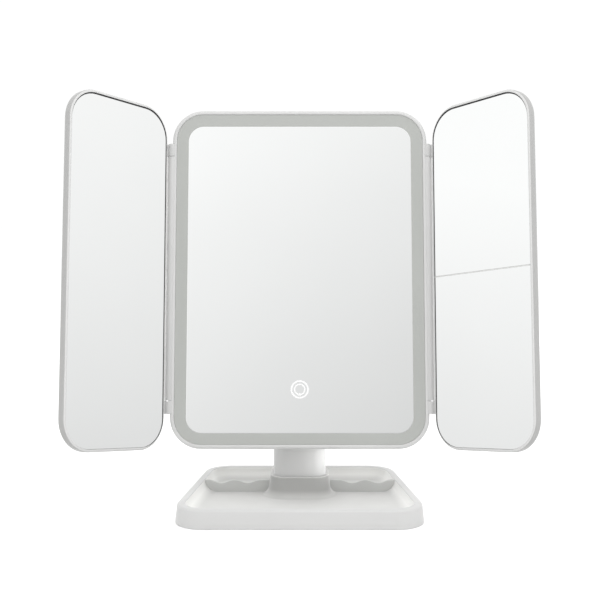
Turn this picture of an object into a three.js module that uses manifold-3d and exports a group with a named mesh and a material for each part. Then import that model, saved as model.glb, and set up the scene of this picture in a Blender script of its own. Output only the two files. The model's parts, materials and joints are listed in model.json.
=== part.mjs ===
// Lighted trifold vanity mirror, in millimetres.
// Origin: centre of the base underside, on the table. -Y is the front, +X is to the right, +Z is up.
// The base carries a hollow post. A yoke on the back of the head turns on a shaft in the post's top,
// and two wings fold on pins at the head's sides.

import * as THREE from 'three';
import { mergeVertices } from 'three/addons/utils/BufferGeometryUtils.js';
import Module from 'manifold-3d';

const wasm = await Module();
wasm.setup();

// ---------------------------------------------------------------- driving dimensions

const HEAD_TILT = THREE.MathUtils.degToRad(10.68);    // the head leans back by this much
const WING_FOLD = THREE.MathUtils.degToRad(51);       // how far each wing is folded forward from flat
const HEAD_CENTRE = new THREE.Vector3(0, 1.8, 163.2);  // middle of the head's front plane

const CASE = { halfWidth: 91, halfHeight: 120.7, corner: 22, depth: 18, edge: 1.8, split: 9.7, wall: 2.8 };
const GLASS = { halfWidth: 87.9, halfHeight: 117.6, corner: 18.9, front: 0.5, back: 2.5 };
const MIRROR = { halfWidth: 79.6, halfHeight: 109.45, corner: 11, centreHeight: -0.4 };
const HINGE = { x: 91.3, depth: 2, radius: 2.6, halfLength: 87, gap: 0.4, knuckle: 9, pinRadius: 1 };
const WING = {
  inner: 1.5, outer: 90.7, halfHeight: 121.2, corner: 22, front: 2.9, back: 9, edge: 1, lip: 1.7,
};
const WING_MIRROR = { front: 3.3, back: 5.3, splitHeight: 0.2, ribWidth: 0.8 };
const TOUCH_HEIGHT = -79.2;

const PIVOT = { y: 18.6, z: 66 };                   // tilt axis, along X
const BASE = { halfDepth: 62.2, sideAtMiddle: 77.75, sideSlope: 0.1326, corner: 20, rimTop: 13, floor: 4 };
const RIM_WIDTH = 5.5;
const COVE = 9;
const PAD_THICKNESS = 1.2;
const PLATE_THICKNESS = 1.2;
const POST = { halfWidth: 19, halfDepth: 14.5, corner: 9.5, bottom: 6, wall: 3.2 };
const COLLAR = { halfWidth: 21.2, halfDepth: 17, corner: 11, top: 18.9, taper: 1.8, fillet: 4.5 };
const BASE_SPREAD = 1.4;                            // the base's foot is wider than its rim by this
const DIVIDER = { thickness: 2.2, plateau: 29, wave: 19.2, dip: 2.3 };

const BATTERY = { radius: 5.25, length: 44.5, pitch: 11, depth: 11.4, middleHeight: 20 };
const DOOR = { width: 54, height: 50, thickness: 1.2 };
const COVER_SCREW = { x: 80.5, z: 110.5 };
const YOKE = { plateHalfWidth: 27, plateHalfHeight: 22, plateThickness: 2, screwX: 22.5, screwZ: 14 };
const EAR = { inner: 14.2, outer: 18.2, hub: 11, rootHalfHeight: 15 };

const CLEARANCE = 0.3;                              // between neighbouring pieces
const PIN_FIT = 0.08;                               // between a hinge pin and its bore, all round
const ROUND_SEGMENTS = 16;
const CURVE_SEGMENTS = 3;
const FAR = 400;                                    // longer than any piece, for cutting tools

// ---------------------------------------------------------------- materials

function finish(color, roughness, metalness = 0) {
  return new THREE.MeshStandardMaterial({ color, roughness, metalness });
}

const white_plastic = () => finish(0xf1f1ef, 0.35);
const tray_plastic = () => finish(0xe2e3df, 0.4);
const opal_plastic = () => finish(0xd3d5d0, 0.6);
const mirror_glass = () => finish(0xf4f6f6, 0.03, 1);
const steel = () => finish(0xb9bcc0, 0.3, 1);
const black_rubber = () => finish(0x1d1d1e, 0.7);
const grey_rubber = () => finish(0x8f918f, 0.8);
const circuit_board = () => finish(0x2d6b45, 0.5);
const cell_wrap = () => finish(0x3b3f45, 0.4);
const foam_tape = () => finish(0x4b4c4e, 0.9);

// ---------------------------------------------------------------- outlines and solids

function solidOf(geometry) {
  const bare = geometry.clone();
  bare.deleteAttribute('normal');
  bare.deleteAttribute('uv');
  const merged = mergeVertices(bare, 1e-4);
  return new wasm.Manifold(new wasm.Mesh({
    numProp: 3,
    vertProperties: new Float32Array(merged.attributes.position.array),
    triVerts: new Uint32Array(merged.index.array),
  }));
}

function geometryOf(solid) {
  const mesh = solid.getMesh();
  const geometry = new THREE.BufferGeometry();
  geometry.setAttribute('position', new THREE.BufferAttribute(mesh.vertProperties, 3));
  geometry.setIndex(new THREE.BufferAttribute(mesh.triVerts, 1));
  geometry.computeVertexNormals();
  return geometry;
}

function join(first, ...others) {
  return geometryOf(others.reduce((sum, other) => sum.add(solidOf(other)), solidOf(first)));
}

function cut(first, ...tools) {
  return geometryOf(tools.reduce((rest, tool) => rest.subtract(solidOf(tool)), solidOf(first)));
}

function common(first, second) {
  return geometryOf(solidOf(first).intersect(solidOf(second)));
}

// A closed outline through the corner points, each corner rounded by the same radius.
function roundedOutline(points, radius) {
  const outline = new THREE.Shape();
  points.forEach((corner, index) => {
    const before = points[(index + points.length - 1) % points.length];
    const after = points[(index + 1) % points.length];
    const toBefore = before.clone().sub(corner).normalize();
    const toAfter = after.clone().sub(corner).normalize();
    const halfAngle = Math.acos(toBefore.dot(toAfter)) / 2;
    const bisector = toBefore.clone().add(toAfter).normalize();
    const centre = corner.clone().addScaledVector(bisector, radius / Math.sin(halfAngle));
    const start = corner.clone().addScaledVector(toBefore, radius / Math.tan(halfAngle)).sub(centre);
    const end = corner.clone().addScaledVector(toAfter, radius / Math.tan(halfAngle)).sub(centre);
    outline.absarc(centre.x, centre.y, radius, start.angle(), end.angle(), false);
  });
  outline.closePath();
  return outline;
}

function rectangle(halfWidth, halfHeight, radius, centreX = 0, centreY = 0) {
  const points = [[-1, -1], [1, -1], [1, 1], [-1, 1]]
    .map(([x, y]) => new THREE.Vector2(centreX + x * halfWidth, centreY + y * halfHeight));
  return roundedOutline(points, radius);
}

// The base's plan, drawn in by a distance from the rim's outer edge.
function basePlan(inset) {
  const sideInset = inset * Math.hypot(1, BASE.sideSlope);
  const halfDepth = BASE.halfDepth - inset;
  const side = (y) => BASE.sideAtMiddle - BASE.sideSlope * y - sideInset;
  const points = [[-1, -halfDepth], [1, -halfDepth], [1, halfDepth], [-1, halfDepth]]
    .map(([sign, y]) => new THREE.Vector2(sign * side(y), y));
  return roundedOutline(points, BASE.corner - inset);
}

function ring(outer, inner) {
  outer.holes.push(new THREE.Path(inner.getPoints(CURVE_SEGMENTS).reverse()));
  return outer;
}

// An upright prism from low to high. A rounded edge keeps the outline's full size between its roundings.
function prism(outline, low, high, edge = 0) {
  const geometry = new THREE.ExtrudeGeometry(outline, {
    depth: high - low - 2 * edge,
    bevelEnabled: edge > 0,
    bevelThickness: edge,
    bevelSize: edge,
    bevelOffset: -edge,
    bevelSegments: 2,
    curveSegments: CURVE_SEGMENTS,
  });
  return geometry.translate(0, 0, low + edge);
}

// A slab of the head: its outline lies in X and Z, and it runs in Y from front to back.
const X_AXIS = new THREE.Vector3(1, 0, 0);
const Y_AXIS = new THREE.Vector3(0, 1, 0);
const Z_AXIS = new THREE.Vector3(0, 0, 1);
const FACING_FRONT = new THREE.Matrix4().makeBasis(X_AXIS, Z_AXIS, Y_AXIS.clone().negate());
const FACING_SIDE = new THREE.Matrix4().makeBasis(Y_AXIS, Z_AXIS, X_AXIS);

function slab(outline, front, back, edge = 0) {
  return prism(outline, 0, back - front, edge).applyMatrix4(FACING_FRONT).translate(0, back, 0);
}

// A prism whose outline lies in Y and Z, and which runs in X from left to right.
function sidePrism(outline, left, right) {
  return prism(outline, 0, right - left).applyMatrix4(FACING_SIDE).translate(left, 0, 0);
}

function box(x, y, z) {
  const geometry = new THREE.BoxGeometry(x[1] - x[0], y[1] - y[0], z[1] - z[0]);
  return geometry.translate((x[0] + x[1]) / 2, (y[0] + y[1]) / 2, (z[0] + z[1]) / 2);
}

// The lower and the upper of two values, in that order.
const span = (first, second) => [Math.min(first, second), Math.max(first, second)];

function rodAlongY(radius, front, back, x = 0, z = 0) {
  const geometry = new THREE.CylinderGeometry(radius, radius, back - front, ROUND_SEGMENTS);
  return geometry.translate(x, (front + back) / 2, z);
}

function rodAlongZ(radius, low, high, x = 0, y = 0) {
  const geometry = new THREE.CylinderGeometry(radius, radius, high - low, ROUND_SEGMENTS);
  return geometry.rotateX(Math.PI / 2).translate(x, y, (low + high) / 2);
}

function rodAlongX(radius, left, right, y = 0, z = 0) {
  const geometry = new THREE.CylinderGeometry(radius, radius, right - left, ROUND_SEGMENTS);
  return geometry.rotateZ(Math.PI / 2).translate((left + right) / 2, y, z);
}

// A screw along +Z: its head's outer face is at zero, its shank points up.
function screw(headRadius, headHeight, shankRadius, length) {
  const profile = [
    [0, 0], [headRadius, 0], [headRadius, headHeight], [shankRadius, headHeight],
    [shankRadius, length - shankRadius], [0, length],
  ];
  return new THREE.LatheGeometry(profile.map(([r, z]) => new THREE.Vector2(r, z)), 10).rotateX(Math.PI / 2);
}

function part(group, name, geometry, material) {
  const mesh = new THREE.Mesh(geometry, material);
  mesh.name = name;
  group.add(mesh);
  return mesh;
}

// ---------------------------------------------------------------- base

const PLATE_TOP = PAD_THICKNESS + PLATE_THICKNESS;
const POST_SCREWS = [-10, 10];
const BASE_SCREWS = [[-60, -56.6], [60, -56.6], [-48, 56.6], [48, 56.6]];

function trayHollow(inset) {
  const outline = basePlan(RIM_WIDTH + COVE + inset);
  const geometry = new THREE.ExtrudeGeometry(outline, {
    depth: COVE, bevelThickness: COVE, bevelSize: COVE, bevelSegments: 6, curveSegments: CURVE_SEGMENTS,
  });
  return geometry.translate(0, 0, BASE.floor + COVE + inset);
}

// Widens a base solid evenly from its rim down to the table.
function spreadFoot(geometry) {
  const position = geometry.attributes.position;
  for (let index = 0; index < position.count; index += 1) {
    const share = BASE_SPREAD * (1 - position.getZ(index) / BASE.rimTop);
    position.setX(index, position.getX(index) * (1 + share / BASE.sideAtMiddle));
    position.setY(index, position.getY(index) * (1 + share / BASE.halfDepth));
  }
  return geometry;
}

function baseShell() {
  const shellBottom = PAD_THICKNESS;
  const skin = 2.2;
  const outer = spreadFoot(prism(basePlan(0), shellBottom, BASE.rimTop, 1.4));
  const plateRecess = prism(basePlan(skin), -1, PLATE_TOP);
  const rimHollow = prism(ring(basePlan(skin), basePlan(5.2)), PLATE_TOP - 1, 10.8);
  const coveHollow = prism(ring(basePlan(skin), basePlan(7)), PLATE_TOP - 1, 6);
  const bosses = BASE_SCREWS.map(([x, y]) => cut(
    rodAlongZ(3.2, PLATE_TOP, 11.4, x, y),
    rodAlongZ(1.15, PLATE_TOP - 1, 9.5, x, y),
  ));
  const hollowed = cut(outer, trayHollow(0), plateRecess, rimHollow, coveHollow);
  const postHoles = POST_SCREWS.map((x) => rodAlongZ(1.6, 0, BASE.rimTop, x, PIVOT.y));
  const bossHoles = BASE_SCREWS.map(([x, y]) => rodAlongZ(1.15, PLATE_TOP - 1, 9.5, x, y));
  return cut(join(hollowed, ...bosses), ...postHoles, ...bossHoles);
}

function weightPlate() {
  const plate = prism(basePlan(2.2 + CLEARANCE), PAD_THICKNESS, PLATE_TOP);
  const postHoles = POST_SCREWS.map((x) => rodAlongZ(3.4, 0, BASE.floor, x, PIVOT.y));
  const rimHoles = BASE_SCREWS.map(([x, y]) => rodAlongZ(1.4, 0, BASE.floor, x, y));
  const headRecesses = BASE_SCREWS.map(([x, y]) => rodAlongZ(2.5, 0, PAD_THICKNESS + 0.7, x, y));
  return cut(plate, ...postHoles, ...rimHoles, ...headRecesses);
}

// The pedestal's outside: a slightly tapered column with a fillet where it meets the tray floor.
function pedestalOutside(grow) {
  const tall = COLLAR.top - BASE.floor;
  const outline = rectangle(COLLAR.halfWidth + grow, COLLAR.halfDepth + grow, COLLAR.corner);
  const column = new THREE.ExtrudeGeometry(outline, {
    depth: tall, bevelEnabled: false, steps: 10, curveSegments: CURVE_SEGMENTS,
  });
  const position = column.attributes.position;
  for (let index = 0; index < position.count; index += 1) {
    const height = position.getZ(index);
    const below = Math.max(COLLAR.fillet - height, 0);
    const fillet = COLLAR.fillet - Math.sqrt(COLLAR.fillet ** 2 - below ** 2);
    const spread = COLLAR.taper * (1 - height / tall) + fillet;
    position.setX(index, position.getX(index) * (1 + spread / COLLAR.halfWidth));
    position.setY(index, position.getY(index) * (1 + spread / COLLAR.halfDepth));
  }
  return column.translate(0, PIVOT.y, BASE.floor);
}

const postPlan = (inset) => rectangle(
  POST.halfWidth - inset, POST.halfDepth - inset, POST.corner - inset, 0, PIVOT.y,
);

function pedestal() {
  const socket = prism(postPlan(-CLEARANCE), POST.bottom, FAR);
  const holes = POST_SCREWS.map((x) => rodAlongZ(1.6, 0, BASE.rimTop, x, PIVOT.y));
  return cut(pedestalOutside(0), socket, ...holes);
}

// One low wall of the tray with a scalloped top, from the pedestal to the tray's side.
function trayDivider(side) {
  const wall = new THREE.Shape();
  const reach = BASE.sideAtMiddle;
  const scallops = 2;
  const steps = 16;
  wall.moveTo(0, BASE.floor - 1);
  wall.lineTo(0, BASE.rimTop);
  for (let step = 0; step <= steps; step += 1) {
    const along = (scallops * step) / steps;
    const dip = (DIVIDER.dip / 2) * (1 - Math.cos(2 * Math.PI * along));
    wall.lineTo(side * (DIVIDER.plateau + DIVIDER.wave * along), BASE.rimTop - dip);
  }
  wall.lineTo(side * reach, BASE.rimTop);
  wall.lineTo(side * reach, BASE.floor - 1);
  wall.closePath();
  const middle = PIVOT.y + DIVIDER.thickness / 2;
  const upright = slab(wall, PIVOT.y - DIVIDER.thickness / 2, middle);
  return cut(common(upright, trayHollow(CLEARANCE)), pedestalOutside(CLEARANCE));
}

function post() {
  const barrelRadius = 13;
  const barrelHalf = 12.6;
  const shoulder = PIVOT.z - 16.5;
  const column = prism(postPlan(0), POST.bottom, shoulder);
  const neckDepth = [PIVOT.y - barrelRadius, PIVOT.y + barrelRadius];
  const neck = box([-barrelHalf, barrelHalf], neckDepth, [30, PIVOT.z]);
  const barrel = rodAlongX(barrelRadius, -barrelHalf, barrelHalf, PIVOT.y, PIVOT.z);
  const hollow = prism(postPlan(POST.wall), 0, 44);
  const bosses = POST_SCREWS.map((x) => rodAlongZ(4.2, POST.bottom, 46, x, PIVOT.y));
  const bores = POST_SCREWS.map((x) => rodAlongZ(1.4, 0, 20, x, PIVOT.y));
  const frontRelief = box([-FAR, FAR], [-FAR, PIVOT.y - barrelRadius - 0.2], [43.2, FAR]);
  const shaftBore = rodAlongX(3.1, -FAR, FAR, PIVOT.y, PIVOT.z);
  const outside = cut(join(column, neck, barrel), frontRelief, hollow);
  return cut(join(outside, ...bosses), ...bores, shaftBore);
}

function buildBase() {
  const base = new THREE.Group();
  part(base, 'anti_slip_pad', prism(basePlan(2.5), 0, PAD_THICKNESS), grey_rubber());
  part(base, 'base_weight_plate', weightPlate(), steel());
  part(base, 'base_shell', baseShell(), white_plastic());
  part(base, 'pedestal_collar', pedestal(), tray_plastic());
  part(base, 'tray_divider_left', trayDivider(-1), tray_plastic());
  part(base, 'tray_divider_right', trayDivider(1), tray_plastic());
  part(base, 'post', post(), white_plastic());
  POST_SCREWS.forEach((x) => {
    const name = x < 0 ? 'post_screw_left' : 'post_screw_right';
    const fixing = part(base, name, screw(2.9, 1, 1.3, 15), steel());
    fixing.position.set(x, PIVOT.y, PLATE_TOP - 1);
  });
  BASE_SCREWS.forEach(([x, y]) => {
    const name = `base_screw_${y < 0 ? 'front' : 'rear'}_${x < 0 ? 'left' : 'right'}`;
    const fixing = part(base, name, screw(2.3, 0.6, 1.05, 7), steel());
    fixing.position.set(x, y, PAD_THICKNESS + 0.05);
  });
  return base;
}

// ---------------------------------------------------------------- head

const caseOutline = (inset) => rectangle(
  CASE.halfWidth - inset, CASE.halfHeight - inset, CASE.corner - inset,
);
const caseBlock = () => slab(caseOutline(0), 0, CASE.depth, CASE.edge);
const corners = [[-1, 1], [1, 1], [-1, -1], [1, -1]];
const cornerName = ([x, z]) => `${z > 0 ? 'top' : 'bottom'}_${x < 0 ? 'left' : 'right'}`;
const LEDGE = { front: 2.8, back: 4.3, width: 1.6 };
const doorOutline = (grow) => rectangle(
  DOOR.width / 2 + grow, DOOR.height / 2 + grow, 3 + grow, 0, BATTERY.middleHeight,
);
const yokeScrew = ([x, z]) => [x * YOKE.screwX, yokeCentre.z + z * YOKE.screwZ];

function mainFrame() {
  const rear = box([-FAR, FAR], [CASE.split, FAR], [-FAR, FAR]);
  const inside = slab(caseOutline(CASE.wall), -1, FAR);
  const rim = cut(caseBlock(), rear, inside);
  const ledgeOutline = ring(caseOutline(CASE.wall - 0.5), caseOutline(CASE.wall + LEDGE.width));
  const ledge = slab(ledgeOutline, LEDGE.front, LEDGE.back);
  const bosses = corners.map(([x, z]) => (
    rodAlongY(4, LEDGE.front, CASE.split, x * COVER_SCREW.x, z * COVER_SCREW.z)));
  const barrels = [-1, 1].map((side) => (
    rodAlongZ(HINGE.radius, -HINGE.halfLength, HINGE.halfLength, side * HINGE.x, HINGE.depth)));
  const screwBores = corners.map(([x, z]) => (
    rodAlongY(1.3, LEDGE.front + 1, FAR, x * COVER_SCREW.x, z * COVER_SCREW.z)));
  const knuckleRoom = [];
  const pinBores = [];
  corners.forEach(([x, z]) => {
    const along = span(z * HINGE.halfLength, z * (HINGE.halfLength + HINGE.knuckle + 1));
    knuckleRoom.push(rodAlongZ(HINGE.radius + 0.2, ...along, x * HINGE.x, HINGE.depth));
    const across = span(x * (HINGE.x - HINGE.radius - 0.15), x * FAR);
    knuckleRoom.push(box(across, [-1, HINGE.depth], along));
    const bore = span(z * (HINGE.halfLength - 10), z * (HINGE.halfLength + 1));
    pinBores.push(rodAlongZ(HINGE.pinRadius + PIN_FIT, ...bore, x * HINGE.x, HINGE.depth));
  });
  return cut(join(rim, ledge, ...bosses, ...barrels), ...screwBores, ...knuckleRoom, ...pinBores);
}

function rearCover() {
  const coverFront = CASE.split + CLEARANCE;
  const wallBack = CASE.depth - 1.6;
  const middle = BATTERY.middleHeight;
  const front = box([-FAR, FAR], [-FAR, coverFront], [-FAR, FAR]);
  const shell = cut(caseBlock(), front, slab(caseOutline(2.4), -1, wallBack));
  const bosses = corners.map(([x, z]) => (
    rodAlongY(4, coverFront, wallBack + 0.5, x * COVER_SCREW.x, z * COVER_SCREW.z)));
  const compartment = slab(rectangle(25, 24.2, 2, 0, middle), 5, wallBack + 0.5);
  const doorLedge = slab(rectangle(29, 27, 2, 0, middle), 14.5, wallBack + 0.5);
  const yokeBosses = corners.map((corner) => rodAlongY(3.4, 11, wallBack + 0.5, ...yokeScrew(corner)));
  const whole = join(shell, ...bosses, compartment, doorLedge, ...yokeBosses);
  const cells = slab(rectangle(23.4, 22.6, 1, 0, middle), 6, FAR);
  const seatDepth = CASE.depth - DOOR.thickness - CLEARANCE;
  const doorSeat = slab(doorOutline(CLEARANCE), seatDepth, FAR);
  const screwHoles = corners.flatMap(([x, z]) => [
    rodAlongY(1.7, 0, FAR, x * COVER_SCREW.x, z * COVER_SCREW.z),
    rodAlongY(3.1, 14.6, FAR, x * COVER_SCREW.x, z * COVER_SCREW.z),
    rodAlongY(1.4, 12, FAR, ...yokeScrew([x, z])),
  ]);
  const inlet = box([40.6, 49.4], [11.3, 15.1], [-FAR, -117]);
  const fingerNotch = rodAlongY(7, seatDepth, FAR, 0, middle - DOOR.height / 2);
  return cut(whole, cells, doorSeat, fingerNotch, inlet, ...screwHoles);
}

function lightTray() {
  const outline = (inset) => rectangle(86 - inset, 116 - inset, 17.5 - inset);
  const block = slab(outline(0), 3, 9);
  const channel = slab(ring(outline(1.5), outline(11.5)), 2, 7.5);
  const backPocket = slab(outline(13), 4.5, FAR);
  const sensorPocket = rodAlongY(8, 2, 3.9, 0, TOUCH_HEIGHT);
  const bossRoom = corners.map(([x, z]) => rodAlongY(4.4, 0, FAR, x * COVER_SCREW.x, z * COVER_SCREW.z));
  return cut(block, channel, backPocket, sensorPocket, ...bossRoom);
}

function ledStrip() {
  const strip = slab(ring(rectangle(79.5, 109.5, 11), rectangle(75.5, 105.5, 7)), 6.5, 7.2);
  const lamps = [];
  const lamp = (x, z) => lamps.push(box([x - 1.6, x + 1.6], [5.6, 6.7], [z - 1.6, z + 1.6]));
  [-56, -28, 0, 28, 56].forEach((x) => [-107.5, 107.5].forEach((z) => lamp(x, z)));
  [-84, -56, -28, 0, 28, 56, 84].forEach((z) => [-77.5, 77.5].forEach((x) => lamp(x, z)));
  return join(strip, ...lamps);
}

function controlBoard() {
  const board = slab(rectangle(20, 9, 1, 50, -103), 10.5, 11.7);
  const driver = box([56, 63], [11.5, 13.2], [-106, -99]);
  const choke = rodAlongY(3.2, 11.5, 14.6, 66, -103);
  const connector = box([32, 37], [11.5, 14.5], [-107, -99]);
  return join(board, driver, choke, connector);
}

function usbSocket() {
  const shell = box([41, 49], [12, 14.8], [-118.5, -112.2]);
  const mouth = box([41.5, 48.5], [12.5, 14.3], [-FAR, -113]);
  return cut(shell, mouth);
}

const YOKE_SPAN = new THREE.Vector2(PIVOT.y - HEAD_CENTRE.y, PIVOT.z - HEAD_CENTRE.z);
const yokeCentre = {
  y: YOKE_SPAN.x * Math.cos(HEAD_TILT) - YOKE_SPAN.y * Math.sin(HEAD_TILT),
  z: YOKE_SPAN.x * Math.sin(HEAD_TILT) + YOKE_SPAN.y * Math.cos(HEAD_TILT),
};

function tiltBracket() {
  const front = CASE.depth + CLEARANCE;
  const back = front + YOKE.plateThickness;
  const plate = slab(rectangle(YOKE.plateHalfWidth, YOKE.plateHalfHeight, 6, 0, yokeCentre.z), front, back);
  const ear = new THREE.Shape();
  const root = front + 0.5 - yokeCentre.y;
  ear.moveTo(root, -EAR.rootHalfHeight);
  ear.lineTo(0, -EAR.hub);
  ear.absarc(0, 0, EAR.hub, -Math.PI / 2, Math.PI / 2, false);
  ear.lineTo(root, EAR.rootHalfHeight);
  ear.closePath();
  const ears = [-1, 1].map((side) => (
    sidePrism(ear, ...span(side * EAR.inner, side * EAR.outer)).translate(0, yokeCentre.y, yokeCentre.z)));
  const shaftBore = rodAlongX(3.1, -FAR, FAR, yokeCentre.y, yokeCentre.z);
  const screwHoles = corners.map((corner) => rodAlongY(1.8, 0, FAR, ...yokeScrew(corner)));
  return cut(join(plate, ...ears), shaftBore, ...screwHoles);
}

function tiltJoint(head) {
  const { y, z } = yokeCentre;
  part(head, 'tilt_bracket', tiltBracket(), white_plastic());
  part(head, 'tilt_shaft', rodAlongX(3, -EAR.outer, EAR.outer, y, z), steel());
  [['left', -1], ['right', 1]].forEach(([name, side]) => {
    const washerSpan = span(side * 12.85, side * (EAR.inner - 0.2));
    const washer = cut(rodAlongX(9, ...washerSpan, y, z), rodAlongX(3.2, -FAR, FAR, y, z));
    part(head, `friction_washer_${name}`, washer, black_rubber());
    const capSpan = span(side * (EAR.outer + CLEARANCE), side * (EAR.outer + 1.8));
    part(head, `pivot_cap_${name}`, rodAlongX(9.5, ...capSpan, y, z), white_plastic());
  });
  corners.forEach((corner) => {
    const fixing = part(head, `bracket_screw_${cornerName(corner)}`, screw(3, 1.4, 1.2, 8), steel());
    fixing.rotation.x = Math.PI / 2;
    const [across, up] = yokeScrew(corner);
    fixing.position.set(across, CASE.depth + CLEARANCE + YOKE.plateThickness + 1.6, up);
  });
}

function powerParts(head) {
  const heights = [-1.5, -0.5, 0.5, 1.5].map((step) => BATTERY.middleHeight + step * BATTERY.pitch);
  heights.forEach((height, index) => {
    const half = BATTERY.length / 2;
    const way = index % 2 ? 1 : -1;
    const canSpan = span(-way * half, way * (half - 1));
    const can = rodAlongX(BATTERY.radius, ...canSpan, BATTERY.depth, height);
    const stud = rodAlongX(1.9, ...span(way * 20, way * half), BATTERY.depth, height);
    part(head, `battery_cell_${index + 1}`, join(can, stud), cell_wrap());
  });
  [['left', -1], ['right', 1]].forEach(([name, side]) => {
    const reach = [BATTERY.middleHeight - 21, BATTERY.middleHeight + 21];
    const contact = box(span(side * 22.5, side * 23.1), [7.5, 15.5], reach);
    part(head, `battery_contact_${name}`, contact, steel());
  });
  part(head, 'control_board', controlBoard(), circuit_board());
  part(head, 'usb_socket', usbSocket(), steel());
  part(head, 'led_strip', ledStrip(), circuit_board());
  part(head, 'touch_sensor_pad', rodAlongY(7, 2.8, 3.6, 0, TOUCH_HEIGHT), circuit_board());
}

function buildHead() {
  const head = new THREE.Group();
  head.position.copy(HEAD_CENTRE);
  head.rotation.x = -HEAD_TILT;
  const glassOutline = rectangle(GLASS.halfWidth, GLASS.halfHeight, GLASS.corner);
  const mirrorOutline = (grow) => rectangle(
    MIRROR.halfWidth + grow, MIRROR.halfHeight + grow, MIRROR.corner + grow, 0, MIRROR.centreHeight,
  );
  part(head, 'main_frame', mainFrame(), white_plastic());
  part(head, 'rear_cover', rearCover(), white_plastic());
  part(head, 'main_mirror', slab(mirrorOutline(0), GLASS.front, GLASS.back), mirror_glass());
  const band = slab(ring(glassOutline, mirrorOutline(CLEARANCE)), GLASS.front, GLASS.back);
  part(head, 'light_diffuser', band, opal_plastic());
  part(head, 'light_tray', lightTray(), white_plastic());
  powerParts(head);
  tiltJoint(head);
  const door = slab(doorOutline(0), CASE.depth - DOOR.thickness, CASE.depth);
  part(head, 'battery_door', door, white_plastic());
  corners.forEach((corner) => {
    const fixing = part(head, `rear_cover_screw_${cornerName(corner)}`, screw(2.7, 1.6, 1.1, 11), steel());
    fixing.rotation.x = Math.PI / 2;
    fixing.position.set(corner[0] * COVER_SCREW.x, 16.3, corner[1] * COVER_SCREW.z);
  });
  head.add(buildWing('left', -1), buildWing('right', 1));
  return head;
}

// ---------------------------------------------------------------- wings

// A wing's own frame has its hinge axis along Z through the origin.
// The wing reaches out along side * X, and its front faces -Y.
function wingOutline(side, inset) {
  const centre = (side * (WING.inner + WING.outer)) / 2;
  const halfWidth = (WING.outer - WING.inner) / 2 - inset;
  return rectangle(halfWidth, WING.halfHeight - inset, WING.corner - inset, centre, 0);
}

function knuckleArm(side) {
  const arm = new THREE.Shape();
  arm.moveTo(side * 0.2, 1.2);
  arm.lineTo(side * 1.8, 1.2);
  arm.lineTo(side * 2.4, 2.9);
  arm.lineTo(side * 5, 4.2);
  arm.lineTo(side * 5, WING.back - 0.8);
  arm.lineTo(side * 1.6, WING.back - 0.8);
  arm.lineTo(side * 0.2, WING.back - 2.4);
  arm.closePath();
  return arm;
}

function wingFrame(side, divided) {
  const shell = slab(wingOutline(side, 0), WING.front, WING.back, WING.edge);
  const mirrorPocket = slab(wingOutline(side, WING.lip), -1, 6.3);
  const backPocket = slab(wingOutline(side, 7), -1, WING.back - 1.5);
  const knuckles = [-1, 1].flatMap((end) => {
    const near = HINGE.halfLength + HINGE.gap;
    const reach = span(end * near, end * (near + HINGE.knuckle));
    return [rodAlongZ(HINGE.radius, ...reach), prism(knuckleArm(side), ...reach)];
  });
  const leafHeight = HINGE.halfLength + HINGE.gap + HINGE.knuckle;
  const leafDepth = [HINGE.radius + CLEARANCE, WING.back - 0.8];
  const leaf = box(span(side * 0.3, side * 4), leafDepth, [-leafHeight, leafHeight]);
  const pinBores = [-1, 1].map((end) => {
    const reach = span(end * 80, end * (HINGE.halfLength + HINGE.knuckle - 0.8));
    return rodAlongZ(HINGE.pinRadius + PIN_FIT, ...reach);
  });
  const frame = cut(join(shell, leaf, ...knuckles), mirrorPocket, backPocket, ...pinBores);
  if (!divided) return frame;
  const ribInset = WING.lip + 0.8;
  const across = span(side * (WING.inner + ribInset), side * (WING.outer - ribInset));
  const { splitHeight, ribWidth } = WING_MIRROR;
  const ribHeights = [splitHeight - ribWidth / 2, splitHeight + ribWidth / 2];
  return join(frame, box(across, [3.4, WING.back - 1.3], ribHeights));
}

// The sheet of a wing between two heights, drawn in from the wing's outline.
function wingSheet(side, inset, front, back, low, high) {
  const whole = slab(wingOutline(side, inset), front, back);
  return common(whole, box([-FAR, FAR], [-FAR, FAR], [low, high]));
}

function buildWing(name, side) {
  const wing = new THREE.Group();
  wing.position.set(side * HINGE.x, HINGE.depth, 0);
  wing.rotation.z = -side * WING_FOLD;
  const divided = side > 0;
  part(wing, `${name}_wing_frame`, wingFrame(side, divided), white_plastic());
  const gasketOutline = ring(wingOutline(side, WING.lip + 0.1), wingOutline(side, WING.lip + 0.5));
  const gasket = slab(gasketOutline, WING.front + 0.1, WING_MIRROR.back);
  part(wing, `${name}_mirror_gasket`, gasket, black_rubber());
  const reveal = WING_MIRROR.ribWidth / 2 + 0.15;
  const { splitHeight } = WING_MIRROR;
  const sheets = divided
    ? [[`${name}_upper`, splitHeight + reveal, FAR], [`${name}_lower`, -FAR, splitHeight - reveal]]
    : [[`${name}`, -FAR, FAR]];
  sheets.forEach(([sheet, low, high]) => {
    const glass = wingSheet(side, WING.lip + 0.6, WING_MIRROR.front, WING_MIRROR.back, low, high);
    part(wing, `${sheet}_mirror`, glass, mirror_glass());
    const tape = wingSheet(side, WING.lip + 2.2, 5.5, 6.1, low, high);
    part(wing, `${sheet}_mirror_tape`, tape, foam_tape());
  });
  [['lower', -1], ['upper', 1]].forEach(([place, end]) => {
    const reach = span(end * 77.5, end * (HINGE.halfLength + HINGE.knuckle - 1));
    part(wing, `${name}_hinge_pin_${place}`, rodAlongZ(HINGE.pinRadius, ...reach), steel());
  });
  return wing;
}

const vanityMirror = new THREE.Group();
vanityMirror.add(buildBase(), buildHead());

export default vanityMirror;
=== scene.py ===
"""Looks of the lighted trifold vanity mirror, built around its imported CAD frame.

Lengths are in millimetres until a mesh is made. Meshes, the camera, the lamps and the backdrop are in
metres.
"""

import json
import math

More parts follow.
